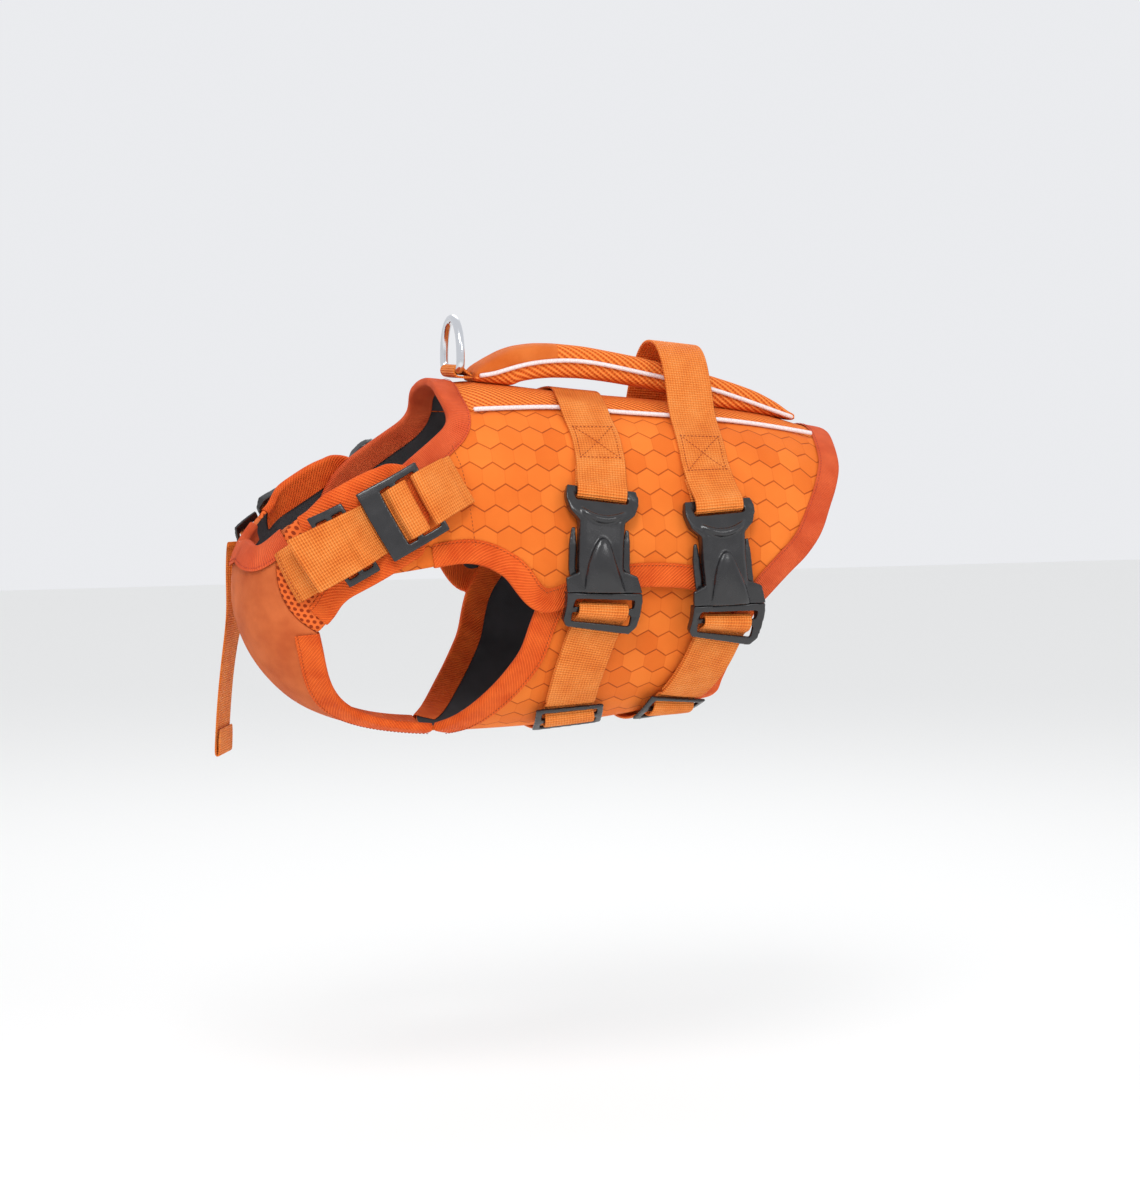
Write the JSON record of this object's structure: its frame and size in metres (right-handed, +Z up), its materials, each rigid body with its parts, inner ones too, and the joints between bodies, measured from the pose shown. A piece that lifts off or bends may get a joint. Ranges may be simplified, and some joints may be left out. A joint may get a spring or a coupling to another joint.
{
  "type": "dog life jacket",
  "caption": "Padded buoyancy vest for a dog, fastened over back, chest and belly, with a grab handle, webbing straps, side-release buckles and a lead ring.",
  "frame": {"origin": "The inside of the back under the handle, on the middle line, where the wearer's back holds the garment up.", "axes": "+X runs along the back to the rear hem, +Y to the wearer's right, +Z up."},
  "size_m": [0.5553, 0.2658, 0.393],
  "materials": {
    "hexagon_cloth": "hexagon-embossed woven cloth over foam",
    "smooth_cloth": "smooth woven cloth",
    "mesh": "spacer mesh",
    "coral_tape": "plain woven binding",
    "twill_tape": "twill binding",
    "webbing": "woven webbing",
    "reflective": "reflective piping",
    "black_plastic": "satin moulded plastic",
    "chrome": "polished"
  },
  "bodies": {
    "jacket": {"side_panel_left": "hexagon_cloth", "side_panel_right": "hexagon_cloth", "belly_panel": "hexagon_cloth", "chest_panel": "smooth_cloth", "handle": "smooth_cloth", "spine_mesh": "mesh", "shoulder_pad_left": "mesh", "shoulder_pad_right": "mesh", "neck_back_binding": "coral_tape", "rear_hem_binding": "coral_tape", "neck_front_binding": "coral_tape", "side_lower_binding_left": "twill_tape", "side_lower_binding_right": "twill_tape", "shoulder_pad_binding_left": "twill_tape", "shoulder_pad_binding_right": "twill_tape", "belly_front_binding_left": "twill_tape", "belly_front_binding_right": "twill_tape", "chest_armhole_binding_left": "twill_tape", "chest_armhole_binding_right": "twill_tape", "belly_rear_binding": "twill_tape", "front_girth_web_upper": "webbing", "front_girth_web_lower": "webbing", "rear_girth_web_upper": "webbing", "rear_girth_web_lower": "webbing", "shoulder_web_rear_left": "webbing", "shoulder_web_folded_left": "webbing", "shoulder_web_chest_left": "webbing", "shoulder_web_rear_right": "webbing", "shoulder_web_chest_right": "webbing", "shoulder_tail_right": "webbing", "d_ring_tab": "webbing", "spine_piping_left": "reflective", "spine_piping_right": "reflective", "handle_piping_left": "reflective", "handle_piping_right": "reflective", "front_buckle_left_female": "black_plastic", "front_buckle_left_male": "black_plastic", "front_buckle_right_female": "black_plastic", "front_buckle_right_male": "black_plastic", "rear_buckle_left_female": "black_plastic", "rear_buckle_left_male": "black_plastic", "rear_buckle_right_female": "black_plastic", "rear_buckle_right_male": "black_plastic", "shoulder_buckle_right_female": "black_plastic", "shoulder_buckle_right_male": "black_plastic", "front_slider_left": "black_plastic", "front_slider_right": "black_plastic", "rear_slider_left": "black_plastic", "rear_slider_right": "black_plastic", "shoulder_slider_left": "black_plastic", "shoulder_slider_right": "black_plastic", "shoulder_ladder_lock_left": "black_plastic"},
    "ring": {"d_ring": "chrome"}
  },
  "joints": [
    {"name": "ring_hinge", "type": "hinge", "parent": "jacket", "child": "ring", "pos_m": [-0.158, 0, 0.0315], "axis": [0, 1, 0], "range_deg": [-80, 50]}
  ]
}
